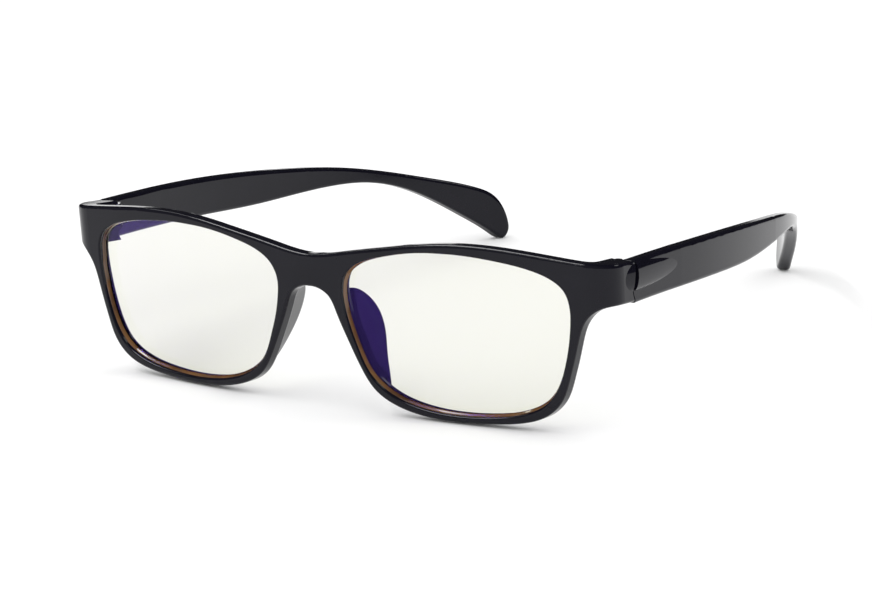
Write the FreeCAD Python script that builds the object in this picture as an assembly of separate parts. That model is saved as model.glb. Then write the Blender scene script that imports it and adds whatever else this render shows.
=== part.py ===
import FreeCAD, Part
import math
import os
from FreeCAD import Vector

# Full-rim rectangular glasses with sprung (flex) hinges, temples open, standing on a table.
# Millimetres. +X is the wearer's left, the front faces -Y, +Z is up, and Z = 0 is the table.
# Shapes are drawn with Y measured from the front of the bridge and moved to the origin at the end.

# ---- driving dimensions -------------------------------------------------------------------
ORIGIN_BEHIND_BRIDGE = 78.3     # from the front of the bridge to the middle of the object
FRONT_TILT = 3.76               # degrees, top of the front leaning forward
FRONT_LIFT = 18.9               # height of the lens centre line above the table

FACE_RADIUS = 335.0             # plan radius of the front face
RIM_DEPTH = 3.6                 # front to back thickness of the rims and bridge
SIDE_X = 70.25                  # outer face of the endpieces
CORNER_RADIUS = 7.5             # plan rounding from the front face to the side
BOSS_X = 64.5                   # inner face of the endpiece, where the hinge leaf is moulded in
BOSS_FILLET = 2.5               # plan rounding from the back of the rim to that inner face

LEAN = 0.18                     # the front's top and underside drop this much per mm backward
FRONT_ROUND = 0.7               # rounding of the front's long edges
OPENING_ROUND = 0.35            # rounding of the lens openings' front and back edges

LENS_CENTRE_X = 34.0
LENS_RADIUS = 200.0             # sphere radius of the lens front
LENS_THICKNESS = 1.4
LENS_SETBACK = 0.5              # lens front behind the face curve, at the lens centre
LENS_INSET = 0.5                # how far the lens edge sits in the rim's groove

TEMPLE_THICKNESS = 3.2
TEMPLE_ROUND = 0.9              # rounding of the temple's long edges
STRAIGHT_START = (70.25, 17.0)  # outer face of the temple in plan, at the hinge
STRAIGHT_END_Y = 38.3           # where the straight stretch ends
SPLAY = 1.6                     # degrees outward over the straight stretch
BOW_RADIUS = 300.0              # gentle inward bow of the middle of the temple
BOW_ANGLE = 9.45                # degrees inward at the end of the bow
EAR_RADIUS = 160.0              # tighter inward bend towards the tip
EAR_ANGLE = 33.5                # degrees inward at the tip
TEMPLE_END_Y = 164.0            # the plan runs past the tip; the side view trims it

SEAM_RADIUS = 8.1               # the temple's rounded front end, a cylinder across the temple
SEAM_FRONT_Y = 16.6
SEAM_MID_Z = 32.2
SEAM_GAP = 0.3                  # between the endpiece and the closed temple

PIN_X = 65.9                    # hinge pin
PIN_Y = 18.4
PIN_Z = 33.2
KNUCKLE_RADIUS = 1.3
MIDDLE_KNUCKLE = 1.5            # height of the slider's knuckle
BARREL_HEIGHT = 5.0
KNUCKLE_GAP = 0.06              # between neighbouring knuckles
POCKET_GAP = 0.35               # round the barrel
MOULD_GAP = 0.03                # between a piece and the moulding that holds it
LEAF_THICKNESS = 1.2
LEAF_FRONT_Y = 9.6
LEAF_ANCHOR_Y = 11.6            # the two anchor holes, filled by the moulding
LEAF_ANCHOR_SPREAD = 1.3
LEAF_ANCHOR_RADIUS = 0.55
ARM_POCKET_Y = 16.3             # front of the room cut for the leaf's arms
PIN_RADIUS = 0.5
PIN_CLEARANCE = 0.03
SCREW_HEAD_RADIUS = 0.95
SCREW_HEAD_HEIGHT = 0.55
SCREW_SLOT_WIDTH = 0.26
SCREW_SLOT_DEPTH = 0.22
ROD_X = 68.95                   # spring rod, parallel to Y
ROD_RADIUS = 0.4
CARRIAGE_HALF_WIDTH = 0.8
SLIDE_CLEARANCE = 0.05          # between the rod and the housing's front wall

HOUSING_FRONT_Y = 21.5
HOUSING_LENGTH = 11.5
HOUSING_WIDTH = 2.6
HOUSING_HEIGHT = 3.2
HOUSING_WALL = 1.0              # front wall that the spring pushes on
HOUSING_BACK_WALL = 0.6
BORE_RADIUS = 1.0
SPRING_COIL_RADIUS = 0.78
SPRING_WIRE_RADIUS = 0.15
SPRING_LENGTH = 7.4
SPRING_TURNS = 8
STOP_LENGTH = 0.8
STOP_RADIUS = 0.92

# Lens opening in the front view, as (distance from the centre line, height), one closed curve.
OPENING = [(34.0, 19.0), (39.0, 18.85), (44.0, 18.35), (49.0, 17.6), (53.6, 16.5), (57.4, 14.9),
           (60.0, 12.6), (61.1, 9.4), (61.1, 4.6), (60.5, 0.0), (59.5, -4.5), (58.1, -8.6),
           (55.2, -12.8), (50.0, -15.55), (42.5, -16.95), (34.0, -17.3), (25.8, -16.4),
           (18.2, -13.6), (13.9, -9.7), (11.3, -4.0), (9.6, 1.0), (8.6, 5.6), (8.45, 9.6),
           (9.9, 12.9), (12.9, 15.2), (18.0, 17.0), (23.5, 18.2), (28.8, 18.85)]

# Outline of the front from the middle of the bridge's top edge to its underside, one side.
BROW = [(0.0, 16.2), (4.9, 16.7), (10.0, 17.7), (20.0, 19.5), (28.5, 20.8), (37.0, 21.4),
        (46.0, 21.1), (56.0, 20.0), (64.0, 19.0), (71.0, 18.45)]
ENDPIECE_BOTTOM = (71.0, 9.8)
RIM_SIDE = [(68.5, 9.3), (65.8, 7.8), (63.95, 5.3), (62.9, 2.3), (61.75, -2.4), (60.45, -7.1),
            (58.7, -11.8), (55.2, -15.5), (49.0, -17.7), (41.5, -18.48), (34.5, -18.73),
            (27.0, -18.23), (19.6, -16.35), (14.9, -13.4), (11.9, -9.0), (8.8, -2.4),
            (6.3, 3.6), (4.7, 6.9), (2.6, 8.3), (0.0, 8.7)]

# Back edge of the nose pad in the side view, as (distance behind the bridge front, height).
PAD_BACK = [(2.6, 29.0), (6.2, 27.0), (9.6, 24.4), (11.4, 20.6), (11.0, 16.0), (9.1, 11.6),
            (6.9, 7.2), (4.6, 4.2), (2.6, 2.6)]
PAD_SPLAY = 0.16                # outward drift of the pad per millimetre backward
PAD_THICKNESS = 2.1
PAD_ROUND = 0.5

# Temple in the side view: the top edge from the hinge to the tip, then the lower edge back.
TEMPLE_TOP = [(14.0, 36.9), (35.0, 35.7), (54.6, 34.15), (73.8, 32.1), (91.5, 29.75),
              (108.7, 26.9), (123.6, 23.3), (137.6, 19.1), (149.0, 15.1)]
TEMPLE_END = [(153.8, 12.2), (156.4, 8.1), (157.5, 3.9), (157.45, 2.0)]
TIP_BOTTOM = (156.0, 0.0)
TEMPLE_BOTTOM = [(153.2, 1.6), (146.5, 6.95), (137.0, 13.45), (127.0, 18.55), (117.6, 21.3),
                 (106.0, 22.55), (92.0, 22.9), (77.3, 23.2), (58.6, 24.55), (39.6, 26.0),
                 (27.0, 26.8), (14.0, 27.4)]

# Raised oval over the spring hinge: half sizes along the temple, its height and its relief.
BULGE_RELIEF = 1.3
BULGE_SEAT_X = 69.9
BULGE_HEIGHT = 3.2
BULGE_FRONT = 9.2
BULGE_REAR = 26.0
BULGE_PITCH = -4.0              # degrees, the rear half follows the falling temple
BULGE_WRAP = 11.0               # degrees, the front half follows the rounded corner

SIDES = {"left": 1, "right": -1}
BIG = 200.0


def box(low, high):
    size = [b - a for a, b in zip(low, high)]
    return Part.makeBox(size[0], size[1], size[2], Vector(*low))


def spline(points, closed=False):
    curve = Part.BSplineCurve()
    curve.interpolate(points, PeriodicFlag=closed)
    return curve.toShape()


def front_view(points):
    return [Vector(x, 0, z) for x, z in points]


def side_view(points):
    return [Vector(0, y, z) for y, z in points]


def mirrored(shape, side):
    if side > 0:
        return shape
    return shape.mirror(Vector(0, 0, 0), Vector(1, 0, 0))


def tilted(shape):
    turned = shape.copy()
    turned.rotate(Vector(0, 0, 0), Vector(1, 0, 0), FRONT_TILT)
    turned.translate(Vector(0, 0, FRONT_LIFT))
    return turned


def rounded(shape, radius, choose):
    return shape.makeFillet(radius, [edge for edge in shape.Edges if choose(edge)])


def along(edge, fits):
    """True when the test holds at five points along the edge."""
    first, last = edge.ParameterRange
    return all(fits(edge.valueAt(first + (last - first) * k / 4)) for k in range(5))


def upright(edge):
    first, last = edge.ParameterRange
    return abs(edge.tangentAt((first + last) / 2).z) > 0.95


def opening_wire(grow=0.0):
    """Outline of the lens opening in the front view, grown outward by the given distance."""
    edge = spline(front_view(OPENING), closed=True)
    grown = []
    for point in front_view(OPENING):
        heading = edge.tangentAt(edge.Curve.parameter(point))
        grown.append(point + Vector(-heading.z, 0, heading.x) * grow)
    return Part.Wire([spline(grown, closed=True)])


def opening_prism(grow, near, far):
    face = Part.Face(opening_wire(grow))
    prism = face.extrude(Vector(0, far - near, 0))
    prism.translate(Vector(0, near, 0))
    return prism


# ---- front --------------------------------------------------------------------------------
def face_y(x):
    return FACE_RADIUS - math.sqrt(FACE_RADIUS ** 2 - x ** 2)


def leaning(points):
    """Front-view points moved up so that, after the lean, they lie right on the curved face."""
    return [Vector(x, 0, z + LEAN * face_y(x)) for x, z in points]


def leaned(wire_edges, near, far):
    """Front-view outline swept backward along the lean, between two depths."""
    prism = Part.Face(Part.Wire(wire_edges)).extrude(Vector(0, far - near, -LEAN * (far - near)))
    prism.translate(Vector(0, near, -LEAN * near))
    return prism


def front_outline():
    """One half of the front as seen from the front, swept from front to back."""
    brow = leaning(BROW)
    rim = leaning(RIM_SIDE)
    end_low = leaning([ENDPIECE_BOTTOM])[0]
    edges = [spline(brow), Part.makeLine(brow[-1], end_low), Part.makeLine(end_low, rim[0]),
             spline(rim), Part.makeLine(rim[-1], brow[0])]
    return leaned(edges, -1.0, 25.0)


def wall_space():
    """Room for the endpiece's side wall: everything above the level of its underside."""
    low, high, near, far = leaning([RIM_SIDE[0]])[0].z, 40.0, 60.0, 80.0
    corners = [Vector(near, 0, low), Vector(far, 0, low), Vector(far, 0, high), Vector(near, 0, high)]
    edges = [Part.makeLine(a, b) for a, b in zip(corners, corners[1:] + corners[:1])]
    return leaned(edges, -1.0, 26.0)


def round_bar():
    """The curved bar of rims and bridge with its lower back edge rounded."""
    height = 80.0
    back = Part.makeCylinder(FACE_RADIUS - RIM_DEPTH, height, Vector(0, FACE_RADIUS, -height / 2))
    bar = front_outline().cut(back)
    return rounded(bar, FRONT_ROUND, lambda e: e.CenterOfMass.z < 0 and along(e, on_back))


def on_arc(point, radius):
    return abs(math.hypot(point.x, point.y - FACE_RADIUS) - radius) < 0.01


def on_corner(point, radius, centre):
    reach = math.hypot(point.x - centre.x, point.y - centre.y)
    return point.x > centre.x and abs(reach - radius) < 0.01


def on_face(point):
    """On the front face, the rounded corner or the outer side of the endpiece."""
    centre = tangent_point(FACE_RADIUS, SIDE_X - CORNER_RADIUS, CORNER_RADIUS)[0]
    on_side = abs(point.x - SIDE_X) < 0.01
    return on_side or on_arc(point, FACE_RADIUS) or on_corner(point, CORNER_RADIUS, centre)


def on_back(point):
    """On the back of the rims or the inner side of the endpiece."""
    radius = FACE_RADIUS - RIM_DEPTH
    centre = tangent_point(radius, BOSS_X - BOSS_FILLET, BOSS_FILLET)[0]
    on_side = abs(point.x - BOSS_X) < 0.01
    return on_side or on_arc(point, radius) or on_corner(point, BOSS_FILLET, centre)


def tangent_point(radius, centre_x, small):
    """A circle of radius small inside the face arc of the given radius, and where they touch."""
    reach = radius - small
    centre_y = FACE_RADIUS - math.sqrt(reach ** 2 - centre_x ** 2)
    scale = radius / reach
    touch = Vector(centre_x * scale, FACE_RADIUS - (FACE_RADIUS - centre_y) * scale, 0)
    return Vector(centre_x, centre_y, 0), touch


def plan_profile():
    """Plan of the front's right half: curved bar, rounded corner and the wall to the hinge."""
    back_radius = FACE_RADIUS - RIM_DEPTH
    corner, corner_touch = tangent_point(FACE_RADIUS, SIDE_X - CORNER_RADIUS, CORNER_RADIUS)
    inner, inner_touch = tangent_point(back_radius, BOSS_X - BOSS_FILLET, BOSS_FILLET)
    hub = Vector(0, FACE_RADIUS, 0)

    def arc_middle(radius, touch):
        half = math.atan2(touch.x, FACE_RADIUS - touch.y) / 2
        return hub + Vector(radius * math.sin(half), -radius * math.cos(half), 0)

    def corner_middle(centre, radius, touch):
        half = (math.atan2(touch.y - centre.y, touch.x - centre.x)) / 2
        return centre + Vector(radius * math.cos(half), radius * math.sin(half), 0)

    back_y = 25.0
    points = [Vector(0, 0, 0), corner_touch, Vector(SIDE_X, corner.y, 0), Vector(SIDE_X, back_y, 0),
              Vector(BOSS_X, back_y, 0), Vector(BOSS_X, inner.y, 0), inner_touch, Vector(0, RIM_DEPTH, 0)]
    edges = [Part.Arc(points[0], arc_middle(FACE_RADIUS, corner_touch), points[1]).toShape(),
             Part.Arc(points[1], corner_middle(corner, CORNER_RADIUS, corner_touch), points[2]).toShape(),
             Part.makeLine(points[2], points[3]),
             Part.makeLine(points[3], points[4]),
             Part.makeLine(points[4], points[5]),
             Part.Arc(points[5], corner_middle(inner, BOSS_FILLET, inner_touch), points[6]).toShape(),
             Part.Arc(points[6], arc_middle(back_radius, inner_touch), points[7]).toShape(),
             Part.makeLine(points[7], points[0])]
    profile = Part.Face(Part.Wire(edges)).extrude(Vector(0, 0, 60.0))
    profile.translate(Vector(0, 0, -30.0))
    return profile


def nose_pad():
    """Fin behind the nasal rim: a slab that follows the rim, trimmed to the pad's side view."""
    nasal = [p for p in RIM_SIDE if p[0] < 16.0 and p[1] < 7.2]
    outer = front_view(nasal)
    inner = [Vector(x + PAD_THICKNESS * 0.9, 0, z - PAD_THICKNESS * 0.35) for x, z in nasal]
    edges = [spline(outer), Part.makeLine(outer[-1], inner[-1]), spline(inner[::-1]),
             Part.makeLine(inner[0], outer[0])]
    slab = Part.Face(Part.Wire(edges)).extrude(Vector(14.0 * PAD_SPLAY, 14.0, 0))
    slab.translate(Vector(0.6 * PAD_SPLAY, 0.6, 0))
    slab = tilted(slab)
    back = side_view(PAD_BACK)
    edges = [spline(back), Part.makeLine(back[-1], back[0])]
    profile = Part.Face(Part.Wire(edges)).extrude(Vector(30.0, 0, 0))
    pad = slab.common(profile)
    trimmed = spline(back)

    def on_back_edge(point):
        return trimmed.distToShape(Part.Vertex(0, point.y, point.z))[0] < 0.01

    return rounded(pad, PAD_ROUND, lambda e: along(e, on_back_edge) and e.Length > 5.0)


def bulge(length, direction):
    """Half of the raised oval, from the seam towards the front (-1) or the tip (+1)."""
    ball = Part.makeSphere(1.0)
    scale = FreeCAD.Matrix()
    scale.scale(BULGE_RELIEF, length, BULGE_HEIGHT)
    oval = ball.transformGeometry(scale)
    keep = box((-5, 0, -9), (5, 40, 9)) if direction > 0 else box((-5, -40, -9), (5, 1.5, 9))
    oval = oval.common(keep)
    if direction > 0:
        oval.rotate(Vector(0, 0, 0), Vector(1, 0, 0), BULGE_PITCH)
    else:
        oval.rotate(Vector(0, 0, 0), Vector(0, 0, 1), -BULGE_WRAP)
    oval.translate(Vector(BULGE_SEAT_X, 17.6, PIN_Z))
    return oval


def seam_solid(radius):
    """Everything behind the seam: a cylinder across the temple and the space behind its axis."""
    axis_y = SEAM_FRONT_Y + SEAM_RADIUS
    rod = Part.makeCylinder(radius, 20.0, Vector(60.0, axis_y, SEAM_MID_Z), Vector(1, 0, 0))
    return rod.fuse(box((20.0, axis_y, -20.0), (80.0, BIG, 60.0)))


def front_half():
    """One rim, half of the bridge and the endpiece, upright, with its edges rounded."""
    body = round_bar().fuse(wall_space())
    half = front_outline().common(plan_profile()).common(body)
    half = half.cut(opening_prism(0, -5.0, 30.0)).removeSplitter()
    opening = opening_wire()

    def round_opening(edge):
        flat = along(edge, lambda p: opening.distToShape(Part.Vertex(p.x, 0, p.z))[0] < 0.01)
        return flat and edge.Length > RIM_DEPTH + 0.1

    half = rounded(half, OPENING_ROUND, round_opening)
    half = rounded(half, FRONT_ROUND, lambda e: along(e, on_face) and not upright(e))

    def upper_back(edge):
        return edge.CenterOfMass.z > 12.0 and along(edge, on_back) and not upright(edge)

    return rounded(half, FRONT_ROUND, upper_back)


def front_frame():
    half = tilted(front_half())
    half = half.fuse(nose_pad())
    return half.fuse(mirrored(half, -1))


def finished_front():
    front = front_frame()
    for side in SIDES.values():
        front = front.fuse(mirrored(bulge(BULGE_FRONT, -1), side))
        front = front.cut(mirrored(seam_solid(SEAM_RADIUS + SEAM_GAP), side))
        front = front.cut(mirrored(barrel_pocket(), side))
        front = front.cut(mirrored(hinge_leaf(MOULD_GAP), side))
        front = front.cut(mirrored(lens(MOULD_GAP), side))
    return front


# ---- lenses -------------------------------------------------------------------------------
def lens(grow=0.0):
    """Spherical lens that fills the opening and sits in the groove of the rim."""
    wrap = math.asin(LENS_CENTRE_X / FACE_RADIUS)
    inward = Vector(-math.sin(wrap), math.cos(wrap), 0)
    apex = Vector(LENS_CENTRE_X, face_y(LENS_CENTRE_X), 0) + inward * LENS_SETBACK
    centre = apex + inward * LENS_RADIUS
    shell = Part.makeSphere(LENS_RADIUS + grow, centre)
    shell = shell.cut(Part.makeSphere(LENS_RADIUS - LENS_THICKNESS - grow, centre))
    return tilted(opening_prism(LENS_INSET + grow, -5.0, 15.0).common(shell))


# ---- temple -------------------------------------------------------------------------------
def temple_plan():
    """Plan of the temple: straight and slightly splayed, gently bowed, then bent in at the ear."""
    splay = math.radians(SPLAY)
    bow = math.radians(BOW_ANGLE)
    ear = math.radians(EAR_ANGLE)

    def heading(angle):
        return Vector(-math.sin(angle), math.cos(angle), 0)

    def inward(angle):
        return Vector(-math.cos(angle), -math.sin(angle), 0)

    def on_bend(pivot, radius, angle, depth):
        return pivot - inward(angle) * (radius - depth)

    start = Vector(STRAIGHT_START[0], STRAIGHT_START[1], 0) - heading(-splay) * 6.0
    bow_start = start + heading(-splay) * ((STRAIGHT_END_Y - start.y) / math.cos(splay))
    bow_pivot = bow_start + inward(-splay) * BOW_RADIUS
    ear_start = on_bend(bow_pivot, BOW_RADIUS, bow, 0)
    ear_pivot = ear_start + inward(bow) * EAR_RADIUS
    ear_end = on_bend(ear_pivot, EAR_RADIUS, ear, 0)
    tip = ear_end + heading(ear) * ((TEMPLE_END_Y - ear_end.y) / math.cos(ear))

    def side_edges(depth):
        first = start + inward(-splay) * depth
        bow_mid = on_bend(bow_pivot, BOW_RADIUS, (bow - splay) / 2, depth)
        ear_mid = on_bend(ear_pivot, EAR_RADIUS, (bow + ear) / 2, depth)
        joins = [on_bend(bow_pivot, BOW_RADIUS, -splay, depth),
                 on_bend(bow_pivot, BOW_RADIUS, bow, depth),
                 on_bend(ear_pivot, EAR_RADIUS, ear, depth)]
        last = tip + inward(ear) * depth
        edges = [Part.makeLine(first, joins[0]), Part.Arc(joins[0], bow_mid, joins[1]).toShape(),
                 Part.Arc(joins[1], ear_mid, joins[2]).toShape(), Part.makeLine(joins[2], last)]
        return edges, first, last

    outer, outer_first, outer_last = side_edges(0)
    inner, inner_first, inner_last = side_edges(TEMPLE_THICKNESS)
    ends = [Part.makeLine(outer_last, inner_last), Part.makeLine(inner_first, outer_first)]
    face = Part.Face(Part.Wire(Part.__sortEdges__(outer + inner + ends)))
    plan = face.extrude(Vector(0, 0, 60.0))
    plan.translate(Vector(0, 0, -10.0))
    return plan


def temple_profile():
    """Side view of the temple, swept across its whole width."""
    outline = spline(side_view(TEMPLE_TOP + TEMPLE_END + [TIP_BOTTOM] + TEMPLE_BOTTOM))
    front = Part.makeLine(Vector(0, TEMPLE_BOTTOM[-1][0], TEMPLE_BOTTOM[-1][1]),
                          Vector(0, TEMPLE_TOP[0][0], TEMPLE_TOP[0][1]))
    face = Part.Face(Part.Wire([outline, front]))
    profile = face.extrude(Vector(60.0, 0, 0))
    profile.translate(Vector(20.0, 0, 0))
    return profile


def barrel_pocket():
    """Room round the hinge barrel and the leaf's arms, open at the top for the screwdriver."""
    low = PIN_Z - BARREL_HEIGHT / 2 - POCKET_GAP
    reach = KNUCKLE_RADIUS + POCKET_GAP
    well = Part.makeCylinder(reach, 12.0, Vector(PIN_X, PIN_Y, low))
    high = low + BARREL_HEIGHT + 2 * POCKET_GAP
    arms = box((PIN_X - 4.0, ARM_POCKET_Y, low), (PIN_X + reach - 0.05, PIN_Y + 2.2, high))
    return well.fuse(arms)


def slider_slot():
    half = MIDDLE_KNUCKLE / 2 + 0.3
    return box((PIN_X - 1.0, 12.0, PIN_Z - half), (ROD_X + 1.2, HOUSING_FRONT_Y + 0.01, PIN_Z + half))


def temple():
    arm = temple_plan().common(temple_profile())
    arm = rounded(arm, TEMPLE_ROUND, lambda e: not upright(e) and e.CenterOfMass.y > TEMPLE_TOP[0][0] + 1.0)
    arm = arm.fuse(bulge(BULGE_REAR, 1))
    arm = arm.common(seam_solid(SEAM_RADIUS))
    return arm.cut(barrel_pocket()).cut(slider_slot()).cut(housing_block())


# ---- hinge --------------------------------------------------------------------------------
def barrel(radius, height, z_mid):
    return Part.makeCylinder(radius, height, Vector(PIN_X, PIN_Y, z_mid - height / 2))


def hinge_leaf(grow=0.0):
    """Leaf in the endpiece with an upper and a lower knuckle; plastic fills its two anchor holes."""
    half = BARREL_HEIGHT / 2 + grow
    thin = LEAF_THICKNESS / 2 + grow
    plate = box((PIN_X - thin, LEAF_FRONT_Y - grow, PIN_Z - half), (PIN_X + thin, PIN_Y, PIN_Z + half))
    for z in (PIN_Z - LEAF_ANCHOR_SPREAD, PIN_Z + LEAF_ANCHOR_SPREAD):
        start = Vector(PIN_X - 2.0, LEAF_ANCHOR_Y, z)
        plate = plate.cut(Part.makeCylinder(LEAF_ANCHOR_RADIUS - grow, 4.0, start, Vector(1, 0, 0)))
    leaf = plate.fuse(barrel(KNUCKLE_RADIUS, 2 * half, PIN_Z))
    leaf = leaf.cut(barrel(KNUCKLE_RADIUS + 0.25, MIDDLE_KNUCKLE + 2 * KNUCKLE_GAP, PIN_Z))
    leaf = leaf.cut(barrel(PIN_RADIUS + PIN_CLEARANCE, BARREL_HEIGHT + 2, PIN_Z))
    return leaf.removeSplitter()


def hinge_screw():
    """Slotted screw: head on top of the barrel, shank through all three knuckles."""
    seat = PIN_Z + BARREL_HEIGHT / 2 + PIN_CLEARANCE
    head = Part.makeCylinder(SCREW_HEAD_RADIUS, SCREW_HEAD_HEIGHT, Vector(PIN_X, PIN_Y, seat))
    start = Vector(PIN_X, PIN_Y, PIN_Z - BARREL_HEIGHT / 2)
    shank = Part.makeCylinder(PIN_RADIUS, BARREL_HEIGHT + 0.2, start)
    half = SCREW_SLOT_WIDTH / 2
    floor = seat + SCREW_HEAD_HEIGHT - SCREW_SLOT_DEPTH
    slot = box((PIN_X - 2, PIN_Y - half, floor), (PIN_X + 2, PIN_Y + half, floor + 1.0))
    return head.fuse(shank).cut(slot).removeSplitter()


def spring_slider():
    """Middle knuckle, arm and carriage, with the rod that carries the spring."""
    half = MIDDLE_KNUCKLE / 2
    knuckle = barrel(KNUCKLE_RADIUS, MIDDLE_KNUCKLE, PIN_Z)
    low = PIN_Z - half
    high = PIN_Z + half
    near = PIN_Y - 0.5
    outer = ROD_X + CARRIAGE_HALF_WIDTH
    arm = box((PIN_X, near, low), (outer, PIN_Y + KNUCKLE_RADIUS, high))
    carriage = box((ROD_X - CARRIAGE_HALF_WIDTH, near, low), (outer, HOUSING_FRONT_Y - 0.1, high))
    rod_end = HOUSING_FRONT_Y + HOUSING_WALL + SPRING_LENGTH + STOP_LENGTH + 0.3
    rod = Part.makeCylinder(ROD_RADIUS, rod_end - PIN_Y, Vector(ROD_X, PIN_Y, PIN_Z), Vector(0, 1, 0))
    slider = knuckle.fuse(arm).fuse(carriage).fuse(rod)
    return slider.cut(barrel(PIN_RADIUS + PIN_CLEARANCE, MIDDLE_KNUCKLE + 2, PIN_Z)).removeSplitter()


def housing_block():
    low = (ROD_X - HOUSING_WIDTH / 2, HOUSING_FRONT_Y, PIN_Z - HOUSING_HEIGHT / 2)
    high = (ROD_X + HOUSING_WIDTH / 2, HOUSING_FRONT_Y + HOUSING_LENGTH, PIN_Z + HOUSING_HEIGHT / 2)
    return box(low, high)


def spring_housing():
    """Box with a round spring chamber and a hole for the rod in its front wall."""
    chamber = HOUSING_LENGTH - HOUSING_WALL - HOUSING_BACK_WALL
    behind_wall = Vector(ROD_X, HOUSING_FRONT_Y + HOUSING_WALL, PIN_Z)
    bore = Part.makeCylinder(BORE_RADIUS, chamber, behind_wall, Vector(0, 1, 0))
    before_wall = Vector(ROD_X, HOUSING_FRONT_Y - 0.5, PIN_Z)
    hole = Part.makeCylinder(ROD_RADIUS + SLIDE_CLEARANCE, HOUSING_WALL + 1, before_wall, Vector(0, 1, 0))
    return housing_block().cut(bore).cut(hole)


def flex_spring():
    """Coil spring round the rod, between the housing's front wall and the stop."""
    pitch = (SPRING_LENGTH - 4 * SPRING_WIRE_RADIUS) / SPRING_TURNS
    helix = Part.makeHelix(pitch, pitch * SPRING_TURNS, SPRING_COIL_RADIUS)
    start = Vector(SPRING_COIL_RADIUS, 0, 0)
    section = Part.Wire(Part.makeCircle(SPRING_WIRE_RADIUS, start, Vector(0, 1, 0)))
    coil = Part.Wire(helix.Edges).makePipeShell([section], True, True)
    coil.rotate(Vector(0, 0, 0), Vector(1, 0, 0), -90)
    coil.translate(Vector(ROD_X, HOUSING_FRONT_Y + HOUSING_WALL + 2 * SPRING_WIRE_RADIUS, PIN_Z))
    return coil


def rod_stop():
    """Collar pressed on the end of the rod."""
    start = Vector(ROD_X, HOUSING_FRONT_Y + HOUSING_WALL + SPRING_LENGTH, PIN_Z)
    collar = Part.makeCylinder(STOP_RADIUS, STOP_LENGTH, start, Vector(0, 1, 0))
    return collar.cut(Part.makeCylinder(ROD_RADIUS, 4.0, start - Vector(0, 1, 0), Vector(0, 1, 0)))


def build():
    """All sub-parts as (name, shape), still measured from the front of the bridge."""
    shapes = {"hinge_leaf": hinge_leaf(), "hinge_screw": hinge_screw(), "spring_slider": spring_slider(),
              "spring_housing": spring_housing(), "flex_spring": flex_spring(), "rod_stop": rod_stop(),
              "temple": temple(), "lens": lens()}
    parts = {"front_frame": finished_front()}
    for side_name, side in SIDES.items():
        for name, shape in shapes.items():
            parts[name + "_" + side_name] = mirrored(shape, side)
    return parts


os.makedirs("parts", exist_ok=True)
for part_name, solid in build().items():
    solid.translate(Vector(0, -ORIGIN_BEHIND_BRIDGE, 0))
    solid.exportStep("parts/" + part_name + ".step")
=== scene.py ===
import math

import bpy
from mathutils import Matrix, Vector


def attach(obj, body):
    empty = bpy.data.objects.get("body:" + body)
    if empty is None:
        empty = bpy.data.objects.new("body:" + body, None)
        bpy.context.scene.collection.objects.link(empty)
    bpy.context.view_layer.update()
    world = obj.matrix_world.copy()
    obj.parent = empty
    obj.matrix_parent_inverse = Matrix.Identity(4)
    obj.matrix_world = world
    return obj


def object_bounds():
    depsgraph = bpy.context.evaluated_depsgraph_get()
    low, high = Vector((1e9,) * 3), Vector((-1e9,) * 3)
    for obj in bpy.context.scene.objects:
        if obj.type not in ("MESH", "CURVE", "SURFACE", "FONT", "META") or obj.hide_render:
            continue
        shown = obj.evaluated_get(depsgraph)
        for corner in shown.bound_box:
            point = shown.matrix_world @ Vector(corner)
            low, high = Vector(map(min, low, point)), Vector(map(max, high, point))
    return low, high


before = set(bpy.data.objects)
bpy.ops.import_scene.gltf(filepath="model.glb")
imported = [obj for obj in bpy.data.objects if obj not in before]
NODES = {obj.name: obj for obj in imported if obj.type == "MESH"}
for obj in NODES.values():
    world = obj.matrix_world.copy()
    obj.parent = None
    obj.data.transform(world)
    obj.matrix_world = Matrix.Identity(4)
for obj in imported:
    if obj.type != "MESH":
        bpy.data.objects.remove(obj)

# Full-rim rectangular glasses, temples open, standing on a white table.
# Metres. +X is the wearer's left, the front faces -Y, +Z is up.

SIDES = ("left", "right")
START_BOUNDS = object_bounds()
WHITE = (1.0, 1.0, 1.0, 1.0)

# ---- camera: in front and to the wearer's left, a little above the temples --------------------
CAMERA_PLACE = Vector((0.33761, -0.58095, 0.18299))
CAMERA_TURN = math.radians(31.4145)      # away from straight at the front, about the vertical
CAMERA_TILT = math.radians(14.7573)      # downward
CAMERA_ROLL = math.radians(-1.5389)
CAMERA_LENS_MM = 118.6
CAMERA_SENSOR_MM = 36.0
CAMERA_SHIFT = 0.0063
CAMERA_NEAR, CAMERA_FAR = 0.01, 20.0

# ---- light ------------------------------------------------------------------------------------
SKY_LIGHT = 1.36                               # soft white light from all round
ROOM_AHEAD, ROOM_BEHIND = 0.42, 0.02           # brightness of the room that glossy faces mirror
ROOM_FADE_START, ROOM_FADE_END = -0.9, 0.3     # Y of the mirrored direction where it fades
LAMP_IMAGE = Vector((-0.30, -0.25, 0.92))      # direction in which polished edges mirror a lamp
LAMP_IMAGE_LIGHT = 16.0
LAMP_IMAGE_RIM, LAMP_IMAGE_CORE = 0.945, 0.97  # cosine of the angle from that direction

# ---- table --------------------------------------------------------------------------------------
TABLE_HALF = 3.0
TABLE_GAP = 0.0001

# ---- lens bevel ---------------------------------------------------------------------------------
LOOP_POINTS = 240
LOOP_SMOOTHING = 6
WALL_REACH = 0.0003      # lens points this near to an outline corner belong to its side wall
AHEAD = Vector((0, -1, 0))
# closed cross-section: distance inward from the lens's outer edge, and in front of it
BEVEL_SECTION = (
    (0.0004, -0.0002),
    (0.0004, 0.0006),
    (0.00062, 0.00045),
    (0.00085, 0.0001),
    (0.00095, -0.0002),
)


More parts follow.
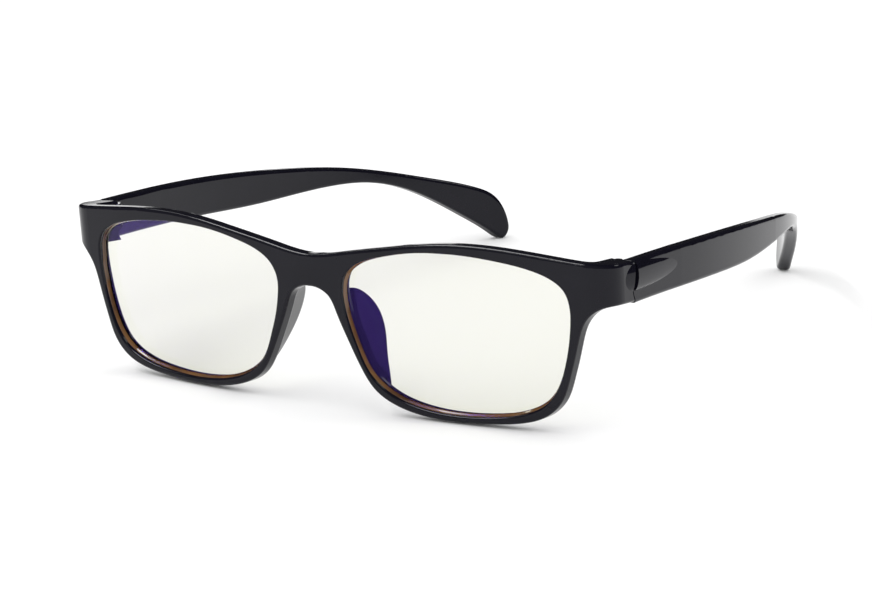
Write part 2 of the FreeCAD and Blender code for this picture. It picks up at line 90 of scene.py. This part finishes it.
# ---- material nodes -----------------------------------------------------------------------------
def material(name):
    """A new material, its node tree and its Principled shader."""
    mat = bpy.data.materials.new(name)
    mat.use_nodes = True
    tree = mat.node_tree
    return mat, tree, tree.nodes["Principled BSDF"]


def noise(tree, scale, detail=4.0, stretch=(1.0, 1.0, 1.0)):
    """Noise over the object's own coordinates, squeezed along the axes by stretch."""
    place = tree.nodes.new("ShaderNodeTexCoord")
    mapping = tree.nodes.new("ShaderNodeMapping")
    mapping.inputs["Scale"].default_value = stretch
    texture = tree.nodes.new("ShaderNodeTexNoise")
    texture.inputs["Scale"].default_value = scale
    texture.inputs["Detail"].default_value = detail
    tree.links.new(place.outputs["Object"], mapping.inputs["Vector"])
    tree.links.new(mapping.outputs["Vector"], texture.inputs["Vector"])
    return texture.outputs["Fac"]


def spread(tree, value, low, high, start=0.3, end=0.7):
    """The value moved from the range start to end into the range low to high."""
    node = tree.nodes.new("ShaderNodeMapRange")
    node.inputs["From Min"].default_value = start
    node.inputs["From Max"].default_value = end
    node.inputs["To Min"].default_value = low
    node.inputs["To Max"].default_value = high
    tree.links.new(value, node.inputs["Value"])
    return node.outputs["Result"]


def ramp(tree, value, low, high, start=0.3, end=0.7):
    """Colour that goes from low to high while the value goes from start to end."""
    node = tree.nodes.new("ShaderNodeValToRGB")
    for element, place, colour in zip(node.color_ramp.elements, (start, end), (low, high)):
        element.position = place
        element.color = (*colour, 1.0)
    tree.links.new(value, node.inputs["Fac"])
    return node.outputs["Color"]


def bump(tree, shader, height, strength, distance):
    node = tree.nodes.new("ShaderNodeBump")
    node.inputs["Strength"].default_value = strength
    node.inputs["Distance"].default_value = distance
    tree.links.new(height, node.inputs["Height"])
    tree.links.new(node.outputs["Normal"], shader.inputs["Normal"])


# ---- materials ----------------------------------------------------------------------------------
def polished_plastic():
    """Tumbled and polished black moulding with faint wipe marks and an orange-peel ripple."""
    mat, tree, shader = material("black_moulding")
    tone = ramp(tree, noise(tree, 90.0), (0.0040, 0.0038, 0.0075), (0.0058, 0.0055, 0.0098))
    tree.links.new(tone, shader.inputs["Base Color"])
    wipes = noise(tree, 160.0, detail=6.0, stretch=(1.0, 0.25, 1.0))
    tree.links.new(spread(tree, wipes, 0.05, 0.10), shader.inputs["Roughness"])
    shader.inputs["IOR"].default_value = 1.45
    shader.inputs["Specular IOR Level"].default_value = 0.25
    bump(tree, shader, noise(tree, 240.0, detail=2.0), 0.10, 0.00004)
    return mat


def metal(name, low, high, rough, stretch, groove):
    """Plated metal with fine drawn or turned grooves."""
    mat, tree, shader = material(name)
    grain = noise(tree, 1400.0, detail=6.0, stretch=stretch)
    tree.links.new(ramp(tree, grain, low, high), shader.inputs["Base Color"])
    tree.links.new(spread(tree, grain, *rough), shader.inputs["Roughness"])
    shader.inputs["Metallic"].default_value = 1.0
    bump(tree, shader, grain, groove, 0.00002)
    return mat


def coated_lens():
    """Pale tinted lens with a blue-violet coating: clear, with a weak coloured mirror on top."""
    mat = bpy.data.materials.new("coated_lens")
    mat.use_nodes = True
    tree = mat.node_tree
    tree.nodes.clear()
    clear = tree.nodes.new("ShaderNodeBsdfTransparent")
    tint = ramp(tree, noise(tree, 30.0), (0.948, 0.954, 0.880), (0.954, 0.960, 0.889))
    tree.links.new(tint, clear.inputs["Color"])
    coat = tree.nodes.new("ShaderNodeBsdfGlossy")
    hue = ramp(tree, noise(tree, 22.0), (0.20, 0.10, 0.95), (0.27, 0.14, 1.0))
    tree.links.new(hue, coat.inputs["Color"])
    tree.links.new(spread(tree, noise(tree, 300.0), 0.03, 0.05), coat.inputs["Roughness"])
    facing = tree.nodes.new("ShaderNodeLayerWeight")
    facing.inputs["Blend"].default_value = 0.2
    share = spread(tree, facing.outputs["Facing"], 0.04, 0.16, 0.0, 1.0)
    mix = tree.nodes.new("ShaderNodeMixShader")
    tree.links.new(share, mix.inputs["Fac"])
    tree.links.new(clear.outputs["BSDF"], mix.inputs[1])
    tree.links.new(coat.outputs["BSDF"], mix.inputs[2])
    out = tree.nodes.new("ShaderNodeOutputMaterial")
    tree.links.new(mix.outputs["Shader"], out.inputs["Surface"])
    return mat


def amber_edge():
    """Amber and brown lens edge under a clear coat."""
    mat, tree, shader = material("amber_edge")
    grain = noise(tree, 120.0, detail=3.0)
    tone = ramp(tree, grain, (0.050, 0.020, 0.006), (0.16, 0.075, 0.025), 0.35, 0.65)
    tree.links.new(tone, shader.inputs["Base Color"])
    tree.links.new(spread(tree, noise(tree, 500.0), 0.08, 0.18), shader.inputs["Roughness"])
    shader.inputs["Coat Weight"].default_value = 0.6
    shader.inputs["Coat Roughness"].default_value = 0.03
    return mat


# ---- the CAD nodes ------------------------------------------------------------------------------
def dress(node, mat):
    """Gives a CAD node its material."""
    obj = NODES[node]
    obj.data.materials.clear()
    obj.data.materials.append(mat)


# ---- lens bevel: a slim ring inside each rim, on the front of the lens ------------------------------
def outline_corners(points):
    """Convex outline of the points, as seen along Y."""
    corners = []
    for line in (points, points[::-1]):
        chain = []
        for point in line:
            while len(chain) > 1:
                one, two = chain[-1] - chain[-2], point - chain[-1]
                if one.x * two.z - one.z * two.x > 0:
                    break
                chain.pop()
            chain.append(point)
        corners += chain[:-1]
    return corners


def evenly_spaced(loop, count):
    """The closed loop again, as count points at equal steps along it."""
    gaps = [(loop[(i + 1) % len(loop)] - loop[i]).length for i in range(len(loop))]
    step = sum(gaps) / count
    even, walked, at = [], 0.0, 0
    for i in range(count):
        while at < len(loop) - 1 and walked + gaps[at] < i * step:
            walked += gaps[at]
            at += 1
        even.append(loop[at].lerp(loop[(at + 1) % len(loop)], (i * step - walked) / gaps[at]))
    return even


def lens_loop(node):
    """The outline of a CAD lens as a closed loop of points along its front edge."""
    points = sorted((v.co.copy() for v in NODES[node].data.vertices), key=lambda p: (p.x, p.z))
    rim = []
    for corner in outline_corners(points):
        wall = [p for p in points if math.hypot(p.x - corner.x, p.z - corner.z) < WALL_REACH]
        rim.append(Vector((corner.x, min(p.y for p in wall), corner.z)))
    return evenly_spaced(rim, LOOP_POINTS)


def smoothed(loop, rounds):
    for _ in range(rounds):
        nexts = loop[1:] + loop[:1]
        loop = [(loop[i - 1] + loop[i] * 2 + nexts[i]) / 4 for i in range(len(loop))]
    return loop


def lens_bevel(side, mat):
    loop = smoothed(lens_loop("lens_" + side), LOOP_SMOOTHING)
    middle = sum(loop, Vector()) / len(loop)
    count, width = len(loop), len(BEVEL_SECTION)
    verts, faces = [], []
    for i, point in enumerate(loop):
        along = (loop[(i + 1) % count] - loop[i - 1]).normalized()
        inward = along.cross(-AHEAD).normalized()
        if inward.dot(middle - point) < 0:
            inward = -inward
        verts += [point + inward * depth + AHEAD * lift for depth, lift in BEVEL_SECTION]
        here, there = i * width, (i + 1) % count * width
        for k in range(width):
            next_k = (k + 1) % width
            faces.append((here + k, here + next_k, there + next_k, there + k))
    name = "lens_bevel_" + side
    mesh = bpy.data.meshes.new(name)
    mesh.from_pydata(verts, [], faces)
    mesh.materials.append(mat)
    obj = bpy.data.objects.new(name, mesh)
    bpy.context.scene.collection.objects.link(obj)
    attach(obj, "front")


# ---- table, light and camera --------------------------------------------------------------------
def table_top():
    mesh = bpy.data.meshes.new("table")
    corners = [(x * TABLE_HALF, y * TABLE_HALF, 0) for x, y in ((-1, -1), (1, -1), (1, 1), (-1, 1))]
    mesh.from_pydata(corners, [], [(0, 1, 2, 3)])
    obj = bpy.data.objects.new("table", mesh)
    bpy.context.scene.collection.objects.link(obj)
    obj.location.z = START_BOUNDS[0].z - TABLE_GAP
    mat, tree, shader = material("white_table")
    shade = ramp(tree, noise(tree, 3.0), (0.90, 0.90, 0.90), (0.92, 0.92, 0.92))
    tree.links.new(shade, shader.inputs["Base Color"])
    shader.inputs["Roughness"].default_value = 0.9
    shader.inputs["Specular IOR Level"].default_value = 0.0
    mesh.materials.append(mat)


def soft_box(name, place, aim, size, power):
    """A rectangular lamp at place that points at aim."""
    lamp = bpy.data.lights.new(name, "AREA")
    lamp.shape = "RECTANGLE"
    lamp.size, lamp.size_y = size
    lamp.energy = power
    obj = bpy.data.objects.new(name, lamp)
    bpy.context.scene.collection.objects.link(obj)
    obj.location = place
    obj.rotation_mode = "QUATERNION"
    obj.rotation_quaternion = (Vector(aim) - Vector(place)).to_track_quat("-Z", "Y")


def mirrored_room(tree):
    """World background for glossy rays: grey ahead of the glasses, nearly black behind, one lamp."""
    links = tree.links
    way = tree.nodes.new("ShaderNodeTexCoord").outputs["Generated"]
    axes = tree.nodes.new("ShaderNodeSeparateXYZ")
    links.new(way, axes.inputs["Vector"])
    room = spread(
        tree, axes.outputs["Y"], ROOM_AHEAD, ROOM_BEHIND, ROOM_FADE_START, ROOM_FADE_END
    )
    nearness = tree.nodes.new("ShaderNodeVectorMath")
    nearness.operation = "DOT_PRODUCT"
    nearness.inputs[1].default_value = LAMP_IMAGE
    links.new(way, nearness.inputs[0])
    lamp = spread(
        tree, nearness.outputs["Value"], 0.0, LAMP_IMAGE_LIGHT, LAMP_IMAGE_RIM, LAMP_IMAGE_CORE
    )
    total = tree.nodes.new("ShaderNodeMath")      # it adds
    links.new(lamp, total.inputs[0])
    links.new(room, total.inputs[1])
    background = tree.nodes.new("ShaderNodeBackground")
    links.new(total.outputs["Value"], background.inputs["Strength"])
    return background.outputs["Background"]


def surroundings():
    """White to the camera, a mirrored room to glossy rays and soft white light to all others."""
    world = bpy.data.worlds.new("studio")
    bpy.context.scene.world = world
    world.use_nodes = True
    tree = world.node_tree
    links = tree.links
    white = tree.nodes["Background"]
    white.inputs["Color"].default_value = WHITE
    white.inputs["Strength"].default_value = 1.0
    soft = tree.nodes.new("ShaderNodeBackground")
    soft.inputs["Strength"].default_value = SKY_LIGHT
    path = tree.nodes.new("ShaderNodeLightPath")
    lit = tree.nodes.new("ShaderNodeMixShader")
    links.new(path.outputs["Is Glossy Ray"], lit.inputs["Fac"])
    links.new(soft.outputs["Background"], lit.inputs[1])
    links.new(mirrored_room(tree), lit.inputs[2])
    seen = tree.nodes.new("ShaderNodeMixShader")
    links.new(path.outputs["Is Camera Ray"], seen.inputs["Fac"])
    links.new(lit.outputs["Shader"], seen.inputs[1])
    links.new(white.outputs["Background"], seen.inputs[2])
    links.new(seen.outputs["Shader"], tree.nodes["World Output"].inputs["Surface"])


def camera():
    data = bpy.data.cameras.new("camera")
    data.lens = CAMERA_LENS_MM
    data.sensor_width = CAMERA_SENSOR_MM
    data.shift_x = CAMERA_SHIFT
    data.clip_start, data.clip_end = CAMERA_NEAR, CAMERA_FAR
    obj = bpy.data.objects.new("camera", data)
    bpy.context.scene.collection.objects.link(obj)
    turn = Matrix.Rotation(CAMERA_TURN, 4, "Z")
    tilt = Matrix.Rotation(math.pi / 2 - CAMERA_TILT, 4, "X")
    roll = Matrix.Rotation(CAMERA_ROLL, 4, "Z")
    obj.matrix_world = Matrix.Translation(CAMERA_PLACE) @ turn @ tilt @ roll
    bpy.context.scene.camera = obj


# ---- put together -------------------------------------------------------------------------------
PLASTIC = polished_plastic()
AMBER = amber_edge()
LENS = coated_lens()
PLATED = metal("plated_hinge", (0.030, 0.030, 0.034), (0.055, 0.055, 0.060), (0.22, 0.36), (1, 1, 6), 0.3)
BRIGHT = metal("bright_screw", (0.70, 0.70, 0.72), (0.82, 0.82, 0.84), (0.12, 0.2), (1, 1, 1), 0.1)
HOUSING = metal("housing_metal", (0.45, 0.45, 0.47), (0.60, 0.60, 0.62), (0.25, 0.4), (1, 0.1, 1), 0.3)
WIRE = metal("spring_wire", (0.40, 0.40, 0.43), (0.58, 0.58, 0.60), (0.2, 0.32), (1, 1, 1), 0.2)

dress("front_frame", PLASTIC)
for side in SIDES:
    dress("lens_" + side, LENS)
    lens_bevel(side, AMBER)
    dress("temple_" + side, PLASTIC)
    dress("hinge_leaf_" + side, PLATED)
    dress("spring_slider_" + side, PLATED)
    dress("hinge_screw_" + side, BRIGHT)
    dress("spring_housing_" + side, HOUSING)
    dress("rod_stop_" + side, HOUSING)
    dress("flex_spring_" + side, WIRE)

table_top()
surroundings()
soft_box("long_strip", (-0.30, -0.30, 0.62), (0.0, -0.06, 0.03), (1.1, 0.05), 1.5)
soft_box("back_box", (0.30, 0.55, 0.55), (0.0, 0.0, 0.02), (0.35, 0.12), 0.35)
camera()
bpy.context.scene.view_settings.view_transform = "Standard"
